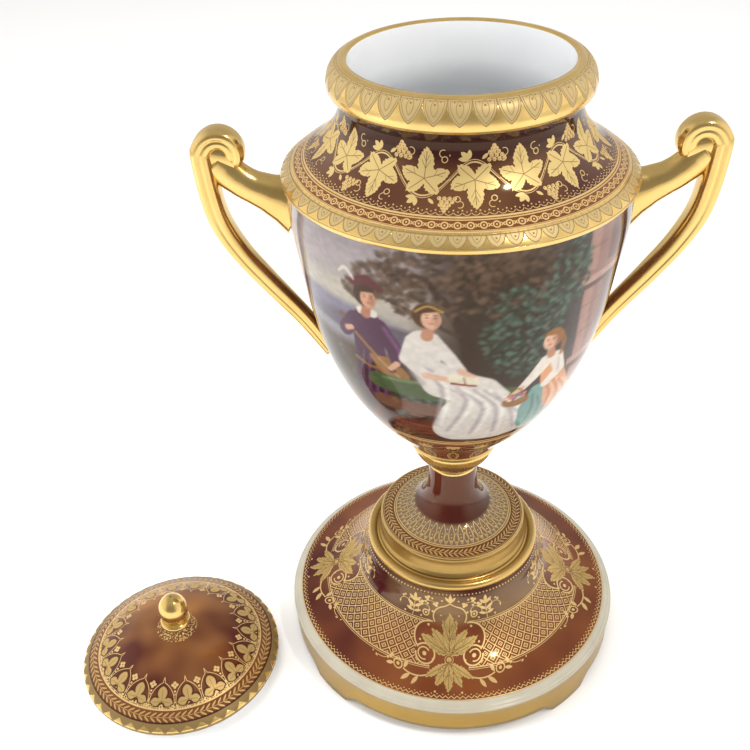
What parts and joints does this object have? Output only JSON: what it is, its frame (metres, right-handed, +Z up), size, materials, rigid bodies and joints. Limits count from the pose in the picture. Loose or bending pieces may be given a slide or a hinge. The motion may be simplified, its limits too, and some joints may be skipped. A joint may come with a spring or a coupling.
{
  "type": "mantel urn",
  "caption": "Covered porcelain mantel urn with two scroll handles on a waisted foot and a round footed plinth; its domed lid with a ball knob lies beside it.",
  "frame": {"origin": "on the floor, at the middle of the footprint of the whole set, urn and loose lid", "axes": "+Z up; -Y towards the urn's painted front; +X from the loose lid towards the urn"},
  "size_m": [0.4368, 0.2672, 0.449],
  "materials": {
    "plinth": "glossy maroon glaze with gilt ornament, pale moulding and gilt skirt",
    "pedestal_foot": "gilded drum, engraved matt gold frieze and glossy maroon stem",
    "vessel": "glossy painted and gilded glaze, white inside",
    "lid": "glossy brown lustre glaze with gilt frieze and gilt edge"
  },
  "bodies": {
    "root": {"plinth": "plinth", "pedestal_foot": "pedestal_foot", "vessel": "vessel", "lid": "lid"}
  },
  "joints": []
}
